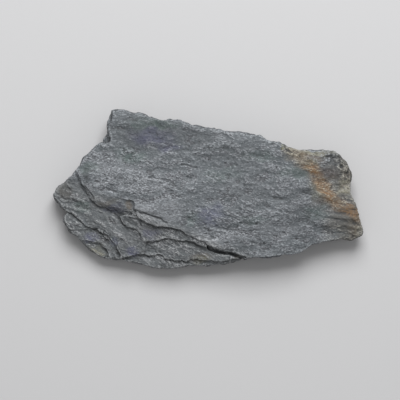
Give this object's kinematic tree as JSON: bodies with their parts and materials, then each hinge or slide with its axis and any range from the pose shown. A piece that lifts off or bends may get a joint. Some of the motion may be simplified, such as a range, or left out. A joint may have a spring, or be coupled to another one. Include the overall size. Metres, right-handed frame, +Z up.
{
  "type": "slate fragment",
  "caption": "Flat broken piece of blue-grey slate with a ribbed cleavage face, shingled ledges along one lower edge and an iron-stained end.",
  "frame": {"origin": "below the middle of the stone's bounding box, at the level of the surface it rests on", "axes": "+X along the stone's length towards the stained end, +Y across it towards the straight long edge, +Z up through the thickness"},
  "size_m": [0.0858, 0.0438, 0.0102],
  "materials": {
    "slate": "matt, split along its cleavage, with fine mica glints"
  },
  "bodies": {
    "root": {"slate_fragment": "slate"}
  },
  "joints": []
}
